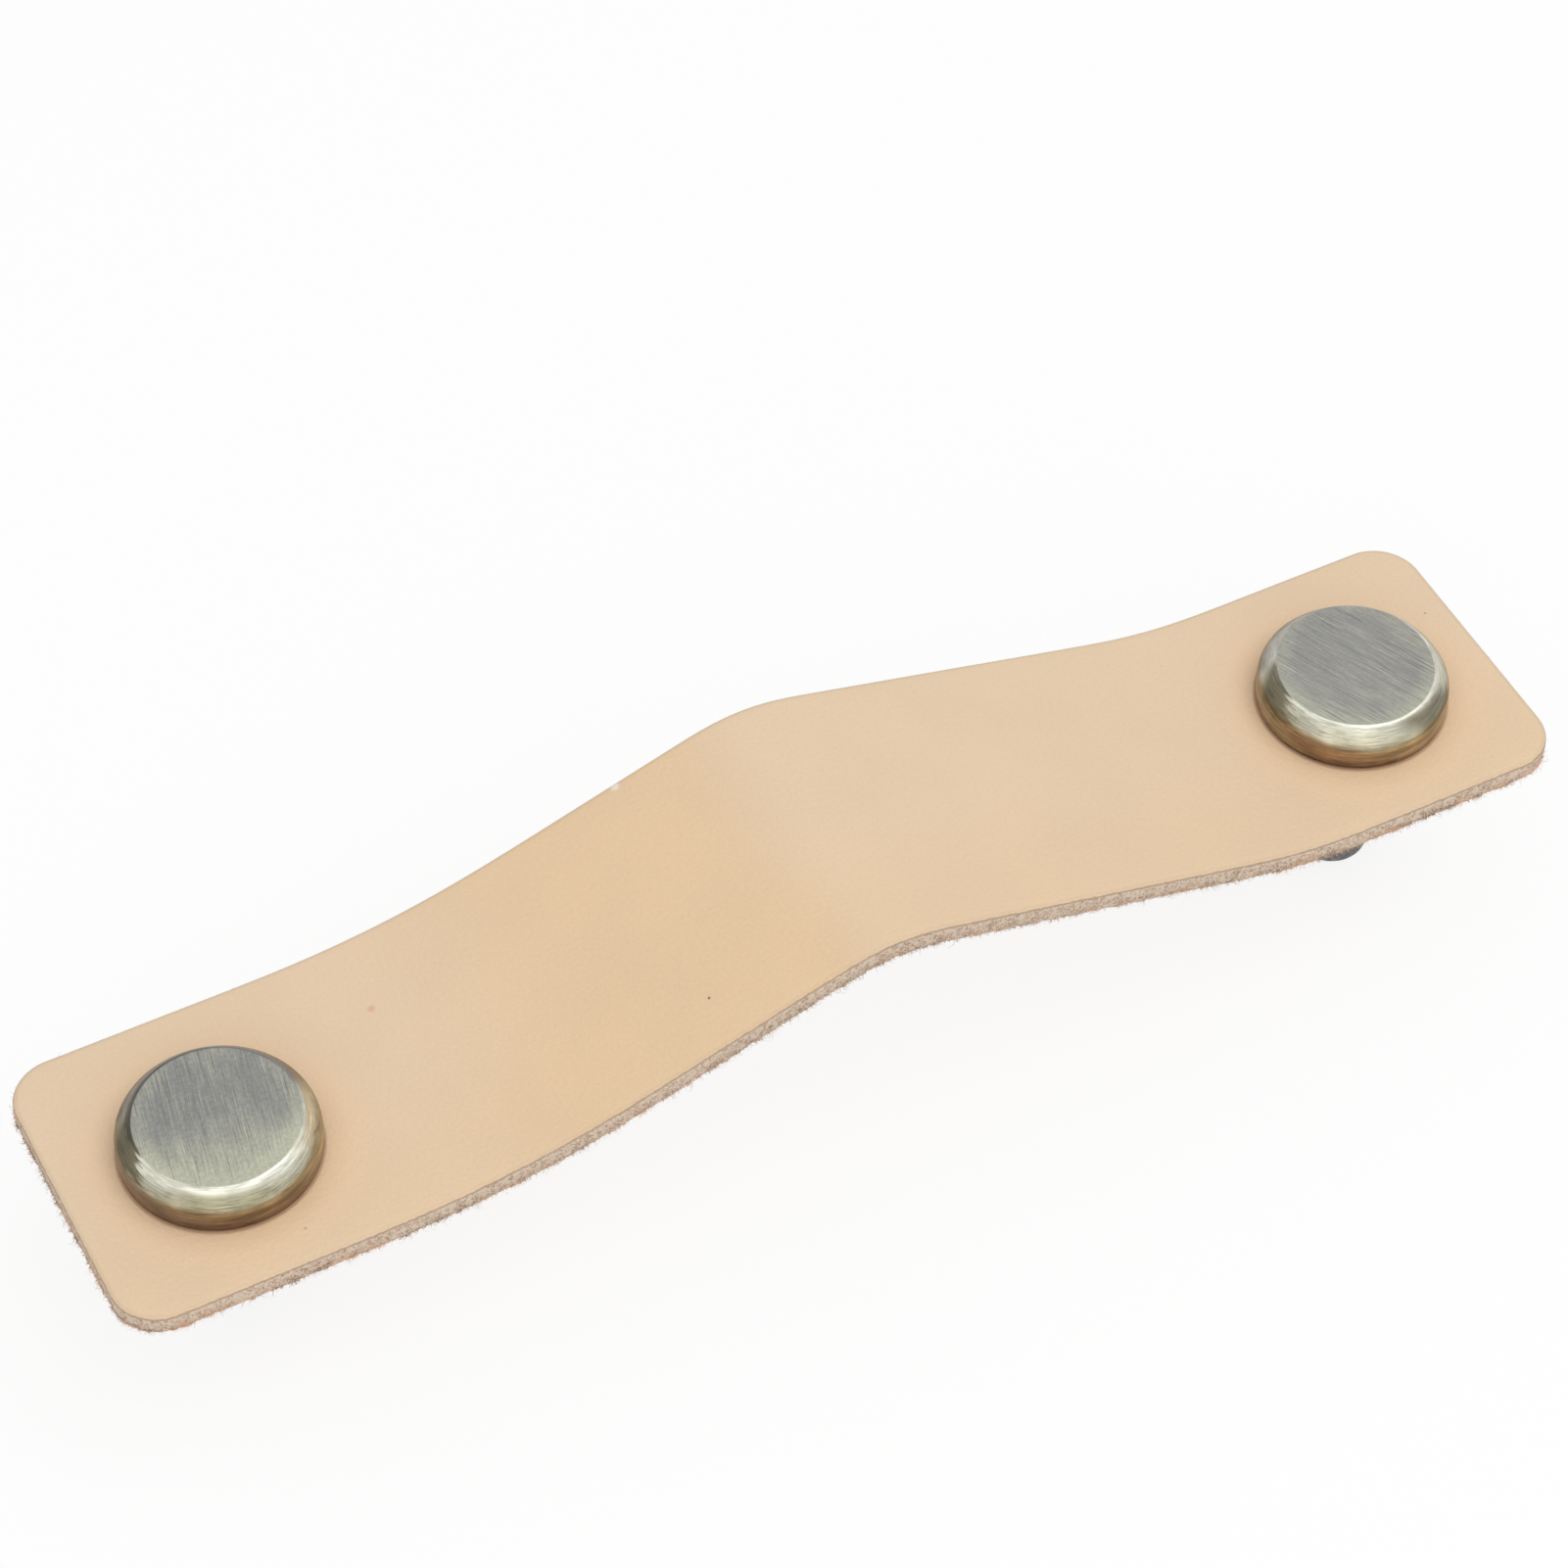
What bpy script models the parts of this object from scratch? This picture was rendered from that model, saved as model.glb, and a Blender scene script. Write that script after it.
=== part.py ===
# Strap pull for a cabinet door or drawer.
# One bowed strap, two round buttons whose hollow posts pass through its flat ends, and two
# machine screws that come through the door from behind into the posts.
# Metres. X runs along the strap, Y across it and Z out of the door. The origin lies midway
# between the two holes, in the plane of the door's face, which the strap's ends lie on.

from math import ceil, cos, pi, radians, sin

import bmesh
import bpy
from mathutils import Matrix, Vector

# Strap, cut flat with rounded corners and bowed between its two holes
HOLE_SPACING = 0.128            # from one hole's centre to the other's
END_MARGIN = 0.0161             # from a hole's centre to the strap's end
STRAP_WIDTH = 0.0335
STRAP_THICKNESS = 0.0024
CORNER_RADIUS = 0.005
HOLE_OFFSET = 0.0006            # how far the holes lie in front of the strap's middle line

# Bow, measured along the upper face; the two straight runs are worked out further down
SEAT_RUN = 0.005                # level strap from a hole's centre to where the bow begins
LEFT_SWEEP = 0.039              # length over which the left side bends up
RIGHT_SWEEP = 0.019             # length over which the right side levels out
CREASE_RUN = 0.0155             # length of the soft fold at the top
LEFT_SLOPE = radians(18.6)
RIGHT_SLOPE = radians(15.6)
STEP_ANGLE = radians(1.5)       # most that the strap turns from one facet to the next

# Buttons, turned in one piece with their posts
BUTTON_RADIUS = 0.010
BUTTON_SIDE = 0.0027            # height of the straight side
BUTTON_CHAMFER_HEIGHT = 0.0019
BUTTON_TOP_RADIUS = 0.0084      # of the level top inside the chamfer
BUTTON_EDGE_RADIUS = 0.0004     # rounding of the turned edges
POST_RADIUS = 0.0032
BORE_SPARE = 0.001              # empty bore past the tip of the screw that reaches deepest

# Screws, M4 with pan heads
SCREW_RADIUS = 0.002
SCREW_LENGTH = 0.020            # under the head
SCREW_TIP_CHAMFER = 0.0005
HEAD_RADIUS = 0.004
HEAD_HEIGHT = 0.0026
HEAD_EDGE_RADIUS = 0.0012
RECESS_LENGTH = 0.0042
RECESS_WIDTH = 0.0009
RECESS_DEPTH = 0.0014
LEFT_REACH = 0.0042             # how far a screw's tip reaches past the door's face
RIGHT_REACH = 0.0020

CLEARANCE = 0.0003              # between pieces that touch
CUT_SPARE = 0.002               # how far a cutter or a blank runs past what it cuts
ROUND_STEPS = 48                # facets round a button or a screw
FILLET_STEPS = 3
CORNER_STEPS = 10
MERGE_DISTANCE = 0.00001
SHARP_ANGLE = radians(30)

SIDES = {"left": (-HOLE_SPACING / 2, LEFT_REACH), "right": (HOLE_SPACING / 2, RIGHT_REACH)}


def clear_scene():
    for item in list(bpy.data.objects):
        bpy.data.objects.remove(item, do_unlink=True)


def new_collection(name):
    collection = bpy.data.collections.new(name)
    bpy.context.scene.collection.children.link(collection)
    return collection


def new_material(name, colour, roughness, metallic):
    material = bpy.data.materials.new(name)
    material.use_nodes = True
    shader = material.node_tree.nodes["Principled BSDF"]
    shader.inputs["Base Color"].default_value = (*colour, 1.0)
    shader.inputs["Roughness"].default_value = roughness
    shader.inputs["Metallic"].default_value = metallic
    material.diffuse_color = (*colour, 1.0)
    return material


def ease(t):
    # From 0 to 1, slow at both ends.
    return t * t * (3.0 - 2.0 * t)


def stretch_steps(length, start, end):
    # A stretch of strap whose slope eases from start to end, as (length, slope) steps.
    count = max(1, ceil(abs(end - start) / STEP_ANGLE))
    return [(length / count, start + (end - start) * ease((i + 0.5) / count)) for i in range(count)]


def run_and_rise(steps):
    return Vector((sum(d * cos(a) for d, a in steps), sum(d * sin(a) for d, a in steps)))


def bow_steps():
    # The strap from end to end. The two straight runs are as long as it takes for both ends
    # to lie level, with their holes the right distance apart.
    blank_end = END_MARGIN + CUT_SPARE + SEAT_RUN
    left_sweep = stretch_steps(LEFT_SWEEP, 0.0, LEFT_SLOPE)
    crease = stretch_steps(CREASE_RUN, LEFT_SLOPE, -RIGHT_SLOPE)
    right_sweep = stretch_steps(RIGHT_SWEEP, -RIGHT_SLOPE, 0.0)
    bends = run_and_rise(left_sweep + crease + right_sweep)
    missing = Vector((HOLE_SPACING - 2 * SEAT_RUN, 0.0)) - bends
    ways = Matrix(((cos(LEFT_SLOPE), cos(RIGHT_SLOPE)), (sin(LEFT_SLOPE), -sin(RIGHT_SLOPE))))
    left_straight, right_straight = ways.inverted() @ missing
    return [(blank_end, 0.0), *left_sweep, (left_straight, LEFT_SLOPE), *crease,
            (right_straight, -RIGHT_SLOPE), *right_sweep, (blank_end, 0.0)]


def bow_outline():
    # The strap's side view: along the upper face, and back along the under face.
    steps = bow_steps()
    x = -(HOLE_SPACING / 2 + END_MARGIN + CUT_SPARE)
    z = STRAP_THICKNESS
    upper = [(x, z)]
    for length, slope in steps:
        x += length * cos(slope)
        z += length * sin(slope)
        upper.append((x, z))
    slopes = [slope for _, slope in steps]
    under = []
    for (px, pz), before, after in zip(upper, [slopes[0], *slopes], [*slopes, slopes[-1]]):
        tilt = (before + after) / 2
        depth = STRAP_THICKNESS / cos((after - before) / 2)
        under.append((px + depth * sin(tilt), pz - depth * cos(tilt)))
    return upper + under[::-1]


def arc(centre, radius, start, end, count):
    return [(centre[0] + radius * cos(start + (end - start) * i / count),
             centre[1] + radius * sin(start + (end - start) * i / count)) for i in range(count + 1)]


def plan_outline():
    # The strap seen from above: a rectangle with round corners, about its own middle.
    x = HOLE_SPACING / 2 + END_MARGIN - CORNER_RADIUS
    y = STRAP_WIDTH / 2 - CORNER_RADIUS
    centres = [(x, y), (-x, y), (-x, -y), (x, -y)]
    return [point for i, centre in enumerate(centres)
            for point in arc(centre, CORNER_RADIUS, i * pi / 2, (i + 1) * pi / 2, CORNER_STEPS)]


def extruded_outline(name, outline, half_depth, collection):
    # A flat outline given thickness both ways, as a closed mesh.
    curve = bpy.data.curves.new(name, "CURVE")
    curve.dimensions = "2D"
    curve.fill_mode = "BOTH"
    curve.extrude = half_depth
    spline = curve.splines.new("POLY")
    spline.points.add(len(outline) - 1)
    for point, (u, v) in zip(spline.points, outline):
        point.co = (u, v, 0.0, 1.0)
    spline.use_cyclic_u = True
    flat = bpy.data.objects.new(name + "_outline", curve)
    collection.objects.link(flat)
    bpy.context.view_layer.update()
    mesh = bpy.data.meshes.new_from_object(flat.evaluated_get(bpy.context.evaluated_depsgraph_get()))
    bpy.data.objects.remove(flat, do_unlink=True)
    shape = bmesh.new()
    shape.from_mesh(mesh)
    bmesh.ops.remove_doubles(shape, verts=shape.verts, dist=MERGE_DISTANCE / 10)
    bmesh.ops.recalc_face_normals(shape, faces=shape.faces)
    shape.to_mesh(mesh)
    shape.free()
    mesh.name = name
    solid = bpy.data.objects.new(name, mesh)
    collection.objects.link(solid)
    return solid


def mark_cutter(cutter):
    cutter.hide_render = True
    cutter.display_type = "WIRE"


def cut_with(target, cutter, operation):
    modifier = target.modifiers.new(cutter.name, "BOOLEAN")
    modifier.operation = operation
    modifier.solver = "EXACT"
    modifier.object = cutter


def turned_piece(name, profile, collection):
    # A profile of (radius, height) points, top to bottom, turned about Z.
    mesh = bpy.data.meshes.new(name)
    mesh.from_pydata([(r, 0.0, z) for r, z in profile], [(i, i + 1) for i in range(len(profile) - 1)], [])
    piece = bpy.data.objects.new(name, mesh)
    collection.objects.link(piece)
    screw = piece.modifiers.new("turned", "SCREW")
    screw.axis = "Z"
    screw.angle = 2 * pi
    screw.steps = ROUND_STEPS
    screw.render_steps = ROUND_STEPS
    screw.use_merge_vertices = True
    screw.merge_threshold = MERGE_DISTANCE
    return piece


def finish_piece(piece, material):
    # Keeps the shape that the modifiers make, smooth where it is round and sharp at its corners.
    bpy.context.view_layer.update()
    shaped = piece.evaluated_get(bpy.context.evaluated_depsgraph_get())
    mesh = bpy.data.meshes.new_from_object(shaped)
    piece.modifiers.clear()
    piece.data = mesh
    mesh.name = piece.name
    mesh.shade_smooth()
    mesh.set_sharp_from_angle(angle=SHARP_ANGLE)
    mesh.materials.clear()
    mesh.materials.append(material)


def hole_cutter(side, collection):
    x = SIDES[side][0]
    height = STRAP_THICKNESS + 2 * CUT_SPARE
    mesh = bpy.data.meshes.new(f"{side}_hole_cutter")
    shape = bmesh.new()
    bmesh.ops.create_cone(shape, cap_ends=True, segments=ROUND_STEPS, depth=height,
                          radius1=POST_RADIUS + CLEARANCE, radius2=POST_RADIUS + CLEARANCE)
    shape.to_mesh(mesh)
    shape.free()
    cutter = bpy.data.objects.new(mesh.name, mesh)
    cutter.location = (x, 0.0, STRAP_THICKNESS / 2)
    collection.objects.link(cutter)
    mark_cutter(cutter)
    return cutter


def make_strap(parts, cutters, material):
    outline = bow_outline()
    strap = extruded_outline("strap", outline, STRAP_WIDTH / 2 + HOLE_OFFSET + CUT_SPARE, parts)
    strap.data.transform(Matrix.Rotation(pi / 2, 4, "X"))
    top = max(z for _, z in outline)
    plan = extruded_outline("plan_cutter", plan_outline(), top / 2 + CUT_SPARE, cutters)
    plan.location = (0.0, HOLE_OFFSET, top / 2)
    mark_cutter(plan)
    cut_with(strap, plan, "INTERSECT")
    for side in SIDES:
        cut_with(strap, hole_cutter(side, cutters), "DIFFERENCE")
    finish_piece(strap, material)


def button_profile():
    # Level top, chamfer, straight side, under face, post and the bore for the screw.
    base = STRAP_THICKNESS + CLEARANCE
    shoulder = base + BUTTON_SIDE
    top = shoulder + BUTTON_CHAMFER_HEIGHT
    bore_radius = SCREW_RADIUS + CLEARANCE
    bore_top = max(reach for _, reach in SIDES.values()) + BORE_SPARE
    corners = [(0.0, top), (BUTTON_TOP_RADIUS, top), (BUTTON_RADIUS, shoulder), (BUTTON_RADIUS, base),
               (POST_RADIUS, base)]
    profile = [corners[0]]
    for before, corner, after in zip(corners, corners[1:], corners[2:]):
        profile += fillet(before, corner, after, BUTTON_EDGE_RADIUS)
    return profile + [(POST_RADIUS, base), (POST_RADIUS, CLEARANCE), (bore_radius, CLEARANCE),
                      (bore_radius, bore_top), (0.0, bore_top)]


def fillet(before, corner, after, radius):
    # Rounds one corner of a profile. The curve leaves each side the same distance from the corner.
    corner = Vector(corner)
    towards = (Vector(before) - corner).normalized()
    away = (Vector(after) - corner).normalized()
    half_angle = towards.angle(away) / 2
    reach = radius * cos(half_angle) / sin(half_angle)
    centre = corner + (towards + away).normalized() * (radius / sin(half_angle))
    start = corner + towards * reach - centre
    end = corner + away * reach - centre
    sweep = start.angle_signed(end)
    return [tuple(centre + Matrix.Rotation(-sweep * i / FILLET_STEPS, 2) @ start)
            for i in range(FILLET_STEPS + 1)]


def make_button(side, parts, material):
    button = turned_piece(f"{side}_button", button_profile(), parts)
    button.location.x = SIDES[side][0]
    finish_piece(button, material)


def screw_profile(tip):
    # From the tip down the shank, out along the head's bearing face and round its rim.
    seat = tip - SCREW_LENGTH
    face = seat - HEAD_HEIGHT
    rim_centre = (HEAD_RADIUS - HEAD_EDGE_RADIUS, face + HEAD_EDGE_RADIUS)
    return [(0.0, tip), (SCREW_RADIUS - SCREW_TIP_CHAMFER, tip), (SCREW_RADIUS, tip - SCREW_TIP_CHAMFER),
            (SCREW_RADIUS, seat), (HEAD_RADIUS, seat),
            *arc(rim_centre, HEAD_EDGE_RADIUS, 0.0, -pi / 2, FILLET_STEPS * 2), (0.0, face)]


def recess_cutter(side, turn, face, collection):
    # One bar of the cross recess.
    mesh = bpy.data.meshes.new(f"{side}_recess_{turn}")
    shape = bmesh.new()
    bmesh.ops.create_cube(shape, size=1.0)
    size = (RECESS_LENGTH, RECESS_WIDTH, RECESS_DEPTH + CUT_SPARE)
    bmesh.ops.scale(shape, vec=size, verts=shape.verts)
    bmesh.ops.rotate(shape, matrix=Matrix.Rotation(radians(turn), 3, "Z"), verts=shape.verts)
    shape.to_mesh(mesh)
    shape.free()
    cutter = bpy.data.objects.new(mesh.name, mesh)
    cutter.location = (SIDES[side][0], 0.0, face + (RECESS_DEPTH - CUT_SPARE) / 2)
    collection.objects.link(cutter)
    mark_cutter(cutter)
    return cutter


def make_screw(side, parts, cutters, material):
    x, reach = SIDES[side]
    screw = turned_piece(f"{side}_screw", screw_profile(reach), parts)
    screw.location.x = x
    for turn in (0, 90):
        cut_with(screw, recess_cutter(side, turn, reach - SCREW_LENGTH - HEAD_HEIGHT, cutters), "DIFFERENCE")
    finish_piece(screw, material)


def main():
    clear_scene()
    parts = new_collection("strap_pull")
    cutters = new_collection("cutters")
    make_strap(parts, cutters, new_material("strap_leather", (0.76, 0.59, 0.38), 0.55, 0.0))
    brass = new_material("button_brass", (0.33, 0.31, 0.22), 0.35, 1.0)
    steel = new_material("screw_steel", (0.09, 0.09, 0.10), 0.45, 1.0)
    for side in SIDES:
        make_button(side, parts, brass)
        make_screw(side, parts, cutters, steel)


main()
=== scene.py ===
# Strap pull for a cabinet door: a bowed faux leather strap with raw cut edges, two brushed antique
# brass buttons, and the dark screws that hold them from behind the door.
# Metres, in the frame's own axes: X along the strap, Y across it, Z out of the door.
import random
from math import ceil, cos, pi, radians, sin

import bmesh
import bpy
import numpy as np
from mathutils import Matrix, Vector


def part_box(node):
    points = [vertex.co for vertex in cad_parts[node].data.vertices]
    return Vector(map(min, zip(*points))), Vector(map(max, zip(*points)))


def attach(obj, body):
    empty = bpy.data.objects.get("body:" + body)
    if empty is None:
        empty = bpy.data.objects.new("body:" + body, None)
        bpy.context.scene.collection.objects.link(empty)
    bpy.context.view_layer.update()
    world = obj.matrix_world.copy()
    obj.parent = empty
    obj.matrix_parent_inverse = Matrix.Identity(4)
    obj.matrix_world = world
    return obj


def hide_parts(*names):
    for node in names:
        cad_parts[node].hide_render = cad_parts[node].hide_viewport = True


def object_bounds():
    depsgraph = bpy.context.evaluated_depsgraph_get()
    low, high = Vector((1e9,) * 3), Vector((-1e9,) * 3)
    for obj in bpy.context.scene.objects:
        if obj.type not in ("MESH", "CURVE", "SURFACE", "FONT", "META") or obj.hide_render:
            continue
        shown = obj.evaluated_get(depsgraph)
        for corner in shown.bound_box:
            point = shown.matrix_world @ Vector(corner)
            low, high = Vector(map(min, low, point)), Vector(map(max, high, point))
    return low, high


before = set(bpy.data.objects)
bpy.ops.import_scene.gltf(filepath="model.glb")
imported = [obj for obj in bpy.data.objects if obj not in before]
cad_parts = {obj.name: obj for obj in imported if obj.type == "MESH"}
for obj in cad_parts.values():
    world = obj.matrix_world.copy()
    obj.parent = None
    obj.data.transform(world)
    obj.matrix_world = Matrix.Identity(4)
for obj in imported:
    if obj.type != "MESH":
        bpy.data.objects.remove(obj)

cadBox = [list(corner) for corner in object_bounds()]
scene = bpy.context.scene
scene.view_settings.view_transform = "Standard"
sides = ("left", "right")
holeX = {side: sum(corner.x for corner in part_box(f"{side}_button")) / 2 for side in sides}


# Camera, where the photographer stood

photoCamera = {
    "lookAt": (0.00238, 0.01009, 0.01044),
    "distance": 0.49166,
    "azimuth": -28.714,      # degrees, 0 looks along +Y
    "elevation": 49.649,
    "roll": 1.428,
    "lens": 112.44,          # millimetres, as the sensor's width
    "sensorWidth": 36.0,
    "clipStart": 0.01,
}


def directionOf(azimuth, elevation):
    turn, rise = radians(azimuth), radians(elevation)
    return Vector((sin(turn) * cos(rise), -cos(turn) * cos(rise), sin(rise)))


def placeCamera():
    data = bpy.data.cameras.new("photoCamera")
    data.lens = photoCamera["lens"]
    data.sensor_width = photoCamera["sensorWidth"]
    data.clip_start = photoCamera["clipStart"]
    camera = newObject("photoCamera", data)
    back = directionOf(photoCamera["azimuth"], photoCamera["elevation"])
    aim = back.to_track_quat("Z", "Y").to_matrix().to_4x4()
    place = Matrix.Translation(Vector(photoCamera["lookAt"]) + back * photoCamera["distance"])
    camera.matrix_world = place @ aim @ Matrix.Rotation(radians(photoCamera["roll"]), 4, "Z")
    scene.camera = camera


# Small helpers for node trees, meshes and pieces

def setInputs(tree, node, inputs):
    # Each input is a plain value, or the socket that feeds it.
    for name, value in inputs.items():
        if isinstance(value, bpy.types.NodeSocket):
            tree.links.new(value, node.inputs[name])
        else:
            node.inputs[name].default_value = value


def addNode(tree, kind, inputs=None, **settings):
    node = tree.nodes.new(kind)
    for name, value in settings.items():
        setattr(node, name, value)
    setInputs(tree, node, inputs or {})
    return node


def calc(tree, operation, *values, clamp=False):
    node = addNode(tree, "ShaderNodeMath", dict(enumerate(values)), operation=operation, use_clamp=clamp)
    return node.outputs[0]


def plus(tree, total, *others):
    for value in others:
        total = calc(tree, "ADD", total, value)
    return total


def minus(tree, first, second):
    return calc(tree, "SUBTRACT", first, second)


def times(tree, product, *others):
    for value in others:
        product = calc(tree, "MULTIPLY", product, value)
    return product


def vectorCalc(tree, operation, *values):
    node = addNode(tree, "ShaderNodeVectorMath", dict(enumerate(values)), operation=operation)
    single = operation in ("LENGTH", "DISTANCE", "DOT_PRODUCT")
    return node.outputs["Value" if single else "Vector"]


def scaled(tree, vector, factor):
    return addNode(tree, "ShaderNodeVectorMath", {0: vector, "Scale": factor}, operation="SCALE").outputs[0]


def reachTowards(tree, vector, angle):
    # How far a vector reaches in one level direction.
    return vectorCalc(tree, "DOT_PRODUCT", vector, (cos(angle), sin(angle), 0.0))


def joinAxes(tree, **axes):
    return addNode(tree, "ShaderNodeCombineXYZ", axes).outputs[0]


def splitAxes(tree, vector):
    return addNode(tree, "ShaderNodeSeparateXYZ", {0: vector}).outputs


def mapRange(tree, value, low, high, toLow=0.0, toHigh=1.0, smooth=True):
    inputs = {"Value": value, "From Min": low, "From Max": high, "To Min": toLow, "To Max": toHigh}
    kind = "SMOOTHSTEP" if smooth else "LINEAR"
    return addNode(tree, "ShaderNodeMapRange", inputs, interpolation_type=kind).outputs["Result"]


def noise(tree, vector, scale, detail=2.0, roughness=0.5, distortion=0.0):
    inputs = {"Vector": vector, "Scale": scale, "Detail": detail, "Roughness": roughness,
              "Distortion": distortion}
    return addNode(tree, "ShaderNodeTexNoise", inputs).outputs[0]


def spread(tree, field, toLow, toHigh):
    # Takes the range that holds most of a noise to another range.
    return mapRange(tree, field, 0.3, 0.7, toLow, toHigh)


def mixColour(tree, share, first, second):
    inputs = {0: share}
    for index, value in ((6, first), (7, second)):
        inputs[index] = value if isinstance(value, bpy.types.NodeSocket) else (*value, 1.0)
    return addNode(tree, "ShaderNodeMix", inputs, data_type="RGBA").outputs[2]


def mixValue(tree, share, first, second):
    return addNode(tree, "ShaderNodeMix", {0: share, 2: first, 3: second}, data_type="FLOAT").outputs[0]


def readAttribute(tree, name, output="Fac"):
    return addNode(tree, "ShaderNodeAttribute", attribute_name=name).outputs[output]


def objectPlace(tree):
    return tree.nodes.new("ShaderNodeTexCoord").outputs["Object"]


def bumpOf(tree, height):
    inputs = {"Height": height, "Strength": 1.0, "Distance": 1.0}
    return addNode(tree, "ShaderNodeBump", inputs).outputs[0]


def newMaterial(name):
    # An empty material with one shader on its output.
    material = bpy.data.materials.new(name)
    material.use_nodes = True
    return material, material.node_tree, material.node_tree.nodes["Principled BSDF"]


def newTree(name, **inputs):
    # A geometry tree with named inputs, listed by the kind of their sockets.
    tree = bpy.data.node_groups.new(name, "GeometryNodeTree")
    tree.interface.new_socket("Geometry", in_out="OUTPUT", socket_type="NodeSocketGeometry")
    for kind, labels in {"Geometry": ["Geometry"], **inputs, "Material": ["Material"]}.items():
        for label in labels:
            tree.interface.new_socket(label, in_out="INPUT", socket_type=f"NodeSocket{kind}")
    return tree, tree.nodes.new("NodeGroupInput").outputs


def meshPlace(tree):
    return tree.nodes.new("GeometryNodeInputPosition").outputs[0]


def meshValue(tree, name):
    return addNode(tree, "GeometryNodeInputNamedAttribute", {"Name": name}, data_type="FLOAT").outputs[0]


def storeOnPoints(tree, geometry, name, value, kind):
    node = addNode(tree, "GeometryNodeStoreNamedAttribute",
                   {"Geometry": geometry, "Name": name, "Value": value}, data_type=kind, domain="POINT")
    return node.outputs[0]


def movePoints(tree, geometry, **inputs):
    return addNode(tree, "GeometryNodeSetPosition", {"Geometry": geometry, **inputs}).outputs[0]


def endTree(tree, geometry, material):
    real = addNode(tree, "GeometryNodeRealizeInstances", {"Geometry": geometry})
    painted = addNode(tree, "GeometryNodeSetMaterial", {"Geometry": real.outputs[0], "Material": material})
    tree.links.new(painted.outputs[0], tree.nodes.new("NodeGroupOutput").inputs[0])
    return tree


def newObject(name, data):
    item = bpy.data.objects.new(name, data)
    scene.collection.objects.link(item)
    return item


def removeObject(item):
    bpy.data.objects.remove(item, do_unlink=True)


def evaluatedMesh(item):
    graph = bpy.context.evaluated_depsgraph_get()
    return bpy.data.meshes.new_from_object(item.evaluated_get(graph), preserve_all_data_layers=True,
                                           depsgraph=graph)


def runTree(name, source, tree, values):
    # The source's mesh as the tree makes it, as a plain new object.
    modifier = source.modifiers.new(tree.name, "NODES")
    modifier.node_group = tree
    for item in tree.interface.items_tree:
        if item.in_out == "INPUT" and item.name in values:
            modifier[item.identifier] = values[item.name]
    made = newObject(name, evaluatedMesh(source))
    source.modifiers.remove(modifier)
    return made


def cutAway(item, cutters):
    # Takes each cutter's shape out of the item, and removes the cutters.
    for cutter in cutters:
        modifier = item.modifiers.new(cutter.name, "BOOLEAN")
        modifier.operation = "DIFFERENCE"
        modifier.object = cutter
    mesh = evaluatedMesh(item)
    item.modifiers.clear()
    item.data = mesh
    for cutter in cutters:
        removeObject(cutter)


def storeValues(mesh, name, values):
    attribute = mesh.attributes.new(name, "FLOAT", "POINT")
    attribute.data.foreach_set("value", np.asarray(values, np.float32))


def vertexPlaces(mesh):
    places = np.zeros(len(mesh.vertices) * 3, np.float32)
    mesh.vertices.foreach_get("co", places)
    return places.reshape(-1, 3).astype(float)


def finishPiece(piece, node, sharpAngle=None):
    # Smooth shading, then the calls that tie the piece to the frame.
    piece.data.shade_smooth()
    if sharpAngle is not None:
        piece.data.set_sharp_from_angle(angle=radians(sharpAngle))
    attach(piece, "root")
    if node:
        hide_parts(node)
    print(f"{piece.name}: {len(piece.data.polygons)} faces")


# Strap: cut flat, then bent along the bow

strapShape = {
    "thickness": 0.0024,
    "cornerRadius": 0.005,
    "seatRun": 0.005,        # level strap from a hole's centre to where the bow begins
    "leftSweep": 0.039,      # length over which the left side bends up
    "rightSweep": 0.019,
    "creaseRun": 0.0155,     # the soft fold at the top
    "leftSlope": 18.6,       # degrees
    "rightSlope": 15.6,
    "holeRadius": 0.0035,
    "holeColumns": 64,
    "pathStep": 0.0003,
    "cell": 0.0007,          # size of a cell on the two faces
    "edgeCuts": 3,           # columns that a cell's width is cut in along the edge
}
strapSurface = {             # by the names of the bending tree's inputs
    "Fray": 0.00020,         # how far the cut edge and the under face stand out or in
    "Fray Size": 0.0006,
    "Wave": 0.00010,         # slow unevenness of the grain face
    "Wave Size": 0.024,
    "Dent": 0.00012,         # how deep a button presses into the leather
    "Dent Reach": 0.0030,
    "Seed": 3.0,
}
edgeZones = {                # start and length down the edge, as shares of the thickness
    "lightFray": (0.12, 0.20),
    "fullFray": (0.50, 0.40),
    "core": (0.22, 0.10),
    "lowerEdge": (0.55, 0.30),
    "underFace": (0.98, 0.02),
}
coreEnd = 0.8                # depth past which no core fibre grows
lowerEdgeWidth = 0.0007      # in from the outline
lipWidth = 0.0010


def ease(t):
    return t * t * (3.0 - 2.0 * t)


def bendSteps(length, start, end):
    # A stretch whose slope eases from start to end, as (length, slope) steps.
    count = ceil(length / strapShape["pathStep"])
    return [(length / count, start + (end - start) * ease((i + 0.5) / count)) for i in range(count)]


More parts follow.
